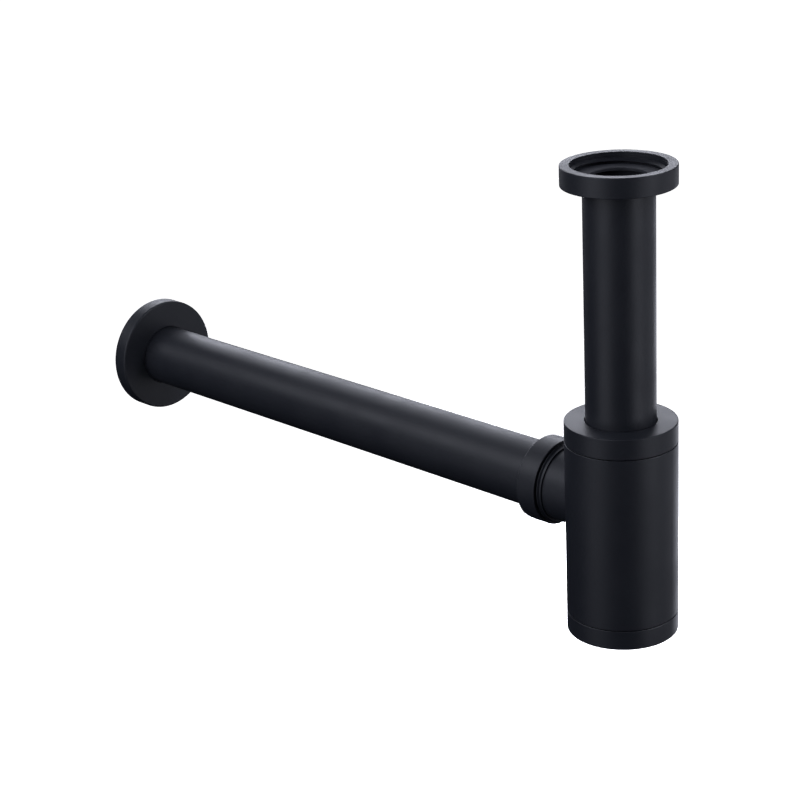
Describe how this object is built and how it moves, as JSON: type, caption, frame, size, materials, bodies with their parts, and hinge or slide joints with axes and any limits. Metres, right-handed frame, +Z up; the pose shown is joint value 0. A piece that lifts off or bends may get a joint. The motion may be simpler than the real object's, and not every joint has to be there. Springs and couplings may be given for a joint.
{
  "type": "bottle trap",
  "caption": "Round bottle trap with an inlet coupling nut, a height-adjustable inlet tube, a clean-out cup, and a straight outlet pipe with a wall flange.",
  "frame": {"origin": "centre of the inlet nut's mouth, in the plane of its rim", "axes": "+Z up along the inlet tube and out of the nut's mouth, +Y along the outlet pipe towards the wall"},
  "size_m": [0.061, 0.3777, 0.2202],
  "materials": {
    "black_coating": "matte black powder coat on brass",
    "bare_brass": "machined",
    "seal_rubber": "matte",
    "white_nylon": "satin",
    "grey_plastic": "satin"
  },
  "bodies": {
    "inlet_pipe": {"inlet_tube": "black_coating", "inlet_washer": "seal_rubber"},
    "inlet_ring": {"inlet_slip_ring": "white_nylon"},
    "inlet_coupling": {"inlet_nut": "black_coating"},
    "top_seal": {"top_cone_seal": "seal_rubber"},
    "bottle": {"bottle_shell": "black_coating", "bottle_neck_ring": "bare_brass", "bottle_base_ring": "bare_brass", "outlet_spigot": "black_coating", "dip_tube": "grey_plastic", "dip_tube_oring": "seal_rubber", "outlet_cone_seal": "seal_rubber"},
    "top_ring": {"top_slip_ring": "white_nylon"},
    "top_coupling": {"top_nut": "black_coating"},
    "cup_seal": {"cup_gasket": "seal_rubber"},
    "cup": {"cleanout_cup": "black_coating"},
    "outlet_ring": {"outlet_slip_ring": "white_nylon"},
    "outlet_coupling": {"outlet_nut": "black_coating"},
    "wall_pipe": {"outlet_pipe": "black_coating"},
    "flange_ring": {"flange_grip_ring": "seal_rubber"},
    "flange": {"wall_flange": "black_coating"}
  },
  "joints": [
    {"name": "inlet_nut_drop", "type": "slide", "parent": "inlet_pipe", "child": "inlet_ring", "axis": [0, 0, 1], "range_m": [-0.03, 0]},
    {"name": "inlet_nut_spin", "type": "hinge", "parent": "inlet_ring", "child": "inlet_coupling", "pos_m": [0, 0, -0.0046], "axis": [0, 0, 1], "continuous": true},
    {"name": "bottle_height", "type": "slide", "parent": "inlet_pipe", "child": "top_seal", "axis": [0, 0, 1], "range_m": [-0.012, 0.05]},
    {"name": "bottle_swivel", "type": "hinge", "parent": "top_seal", "child": "bottle", "pos_m": [0, 0, -0.1226], "axis": [0, 0, 1], "continuous": true},
    {"name": "top_ring_lift", "type": "slide", "parent": "bottle", "child": "top_ring", "axis": [0, 0, 1], "range_m": [0, 0.006]},
    {"name": "top_nut_screw", "type": "hinge", "parent": "top_ring", "child": "top_coupling", "pos_m": [0, 0, -0.1226], "axis": [0, 0, 1], "range_deg": [0, 1440]},
    {"name": "cup_drop", "type": "slide", "parent": "bottle", "child": "cup_seal", "axis": [0, 0, -1], "range_m": [0, 0.006]},
    {"name": "cup_screw", "type": "hinge", "parent": "cup_seal", "child": "cup", "pos_m": [0, 0, -0.2156], "axis": [0, 0, -1], "range_deg": [0, 1440]},
    {"name": "outlet_ring_slide", "type": "slide", "parent": "bottle", "child": "outlet_ring", "axis": [0, 1, 0], "range_m": [0, 0.006]},
    {"name": "outlet_nut_screw", "type": "hinge", "parent": "outlet_ring", "child": "outlet_coupling", "pos_m": [0, 0.0409, -0.1575], "axis": [0, 1, 0], "range_deg": [0, 1080]},
    {"name": "pipe_insert", "type": "slide", "parent": "bottle", "child": "wall_pipe", "axis": [0, 1, 0], "range_m": [-0.0035, 0.006]},
    {"name": "flange_slide", "type": "slide", "parent": "wall_pipe", "child": "flange_ring", "axis": [0, 1, 0], "range_m": [-0.25, 0.008]},
    {"name": "flange_spin", "type": "hinge", "parent": "flange_ring", "child": "flange", "pos_m": [0, 0.333, -0.1575], "axis": [0, 1, 0], "continuous": true}
  ],
  "couplings": [
    {"joint": "top_nut_screw", "follows": "top_ring_lift", "rad_per_m": 4188.8},
    {"joint": "cup_screw", "follows": "cup_drop", "rad_per_m": 4188.8},
    {"joint": "outlet_nut_screw", "follows": "outlet_ring_slide", "rad_per_m": 3141.6}
  ]
}
